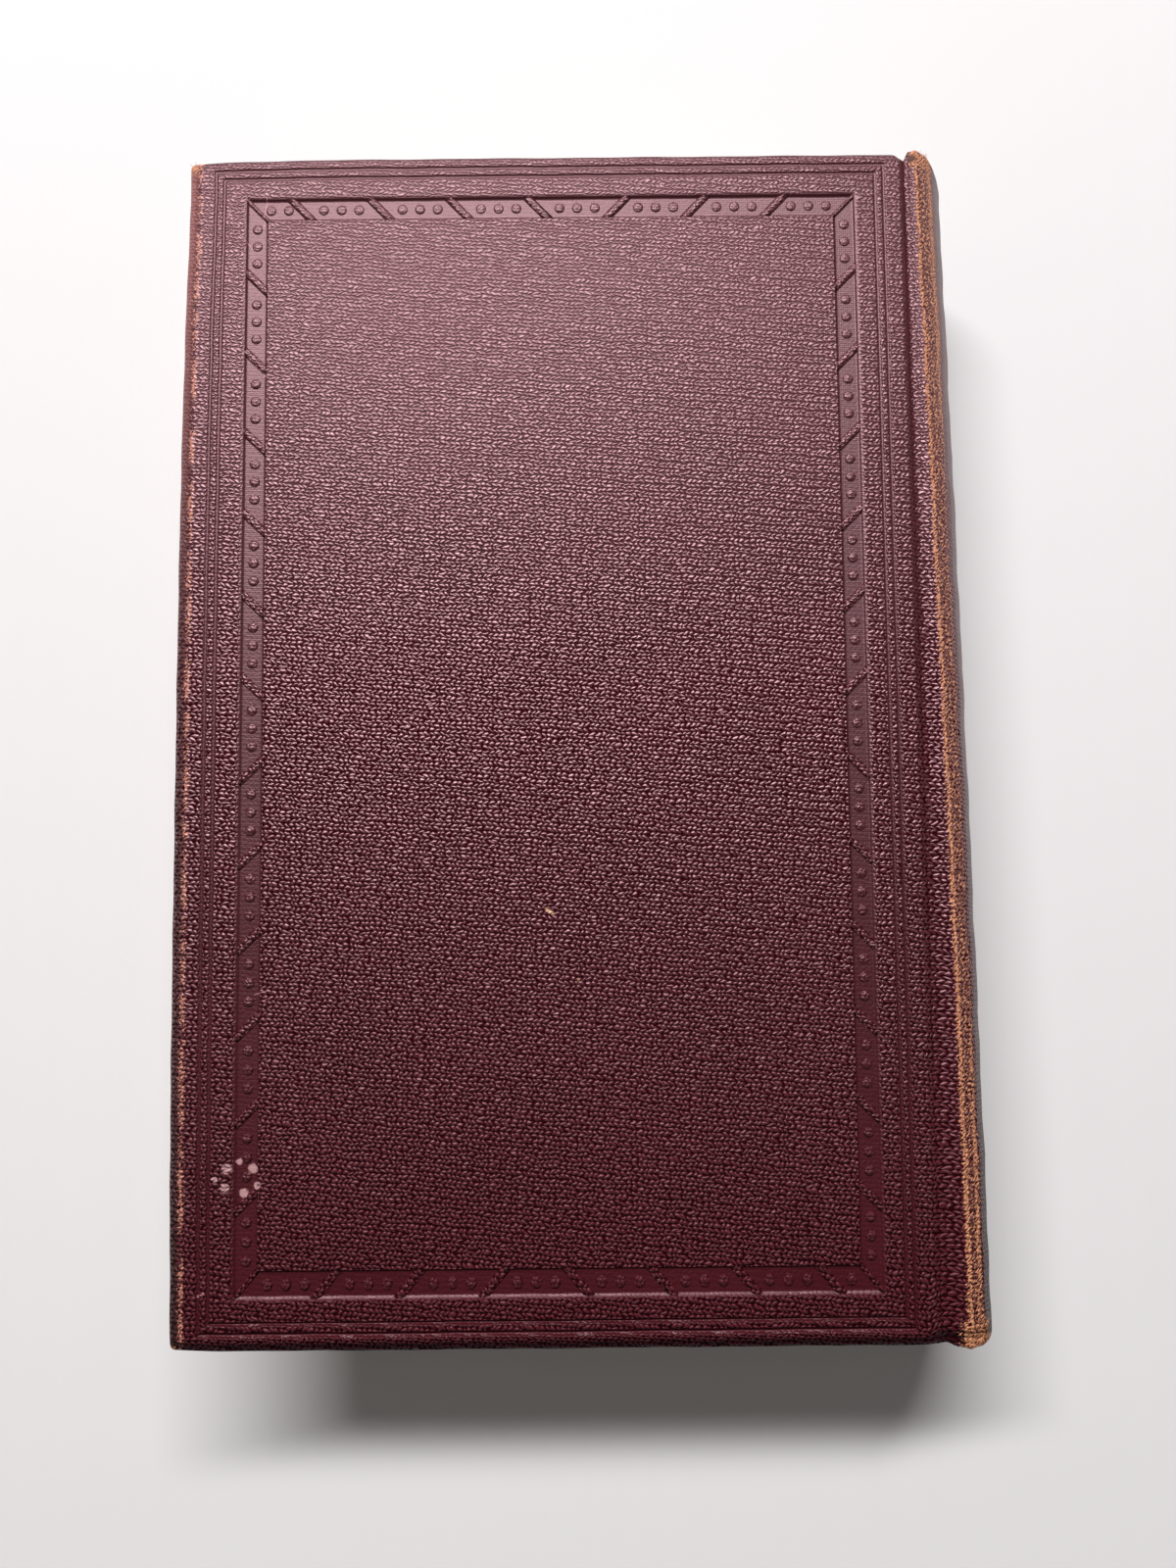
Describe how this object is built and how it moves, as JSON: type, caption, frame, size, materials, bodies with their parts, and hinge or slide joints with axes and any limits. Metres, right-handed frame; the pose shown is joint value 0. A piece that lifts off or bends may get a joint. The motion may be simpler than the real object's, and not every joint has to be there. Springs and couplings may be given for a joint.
{
  "type": "hardback book",
  "caption": "Old cloth-bound hardback book with a rounded spine, blind-stamped covers and both covers hinged on their cloth joints.",
  "frame": {"origin": "centre of the footprint, on the surface that the closed book lies on", "axes": "+X from fore-edge to spine, +Y from tail to head, +Z from the front cover up to the back cover"},
  "size_m": [0.1474, 0.216, 0.041],
  "materials": {
    "cloth": "dark maroon book cloth with a pebbled grain, glazed and worn to tan thread at the spine ridges",
    "paper": "aged cream paper, browned at the edges",
    "endpaper": "plain aged endpaper",
    "board": "grey-brown millboard",
    "card": "thin grey-brown card",
    "linen": "unbleached linen tape",
    "mull": "open-weave starched mull",
    "headband": "striped red and cream headband cloth"
  },
  "bodies": {
    "book_block": {"pages": "paper", "back_flyleaf": "endpaper", "front_flyleaf": "endpaper", "sewing_tapes": "linen", "spine_mull": "mull", "spine_lining": "paper", "head_band": "headband", "tail_band": "headband", "spine_inlay": "card", "spine_cloth": "cloth"},
    "back_cover": {"back_board": "board", "back_cloth": "cloth", "back_mull_flap": "mull", "back_pastedown": "endpaper"},
    "front_cover": {"front_board": "board", "front_cloth": "cloth", "front_mull_flap": "mull", "front_pastedown": "endpaper"}
  },
  "joints": [
    {"name": "back_cover_hinge", "type": "hinge", "parent": "book_block", "child": "back_cover", "pos_m": [0.06175, 0, 0.041], "axis": [0, 1, 0], "range_deg": [0, 178]},
    {"name": "front_cover_hinge", "type": "hinge", "parent": "book_block", "child": "front_cover", "pos_m": [0.06175, 0, 0], "axis": [0, -1, 0], "range_deg": [0, 178]}
  ]
}
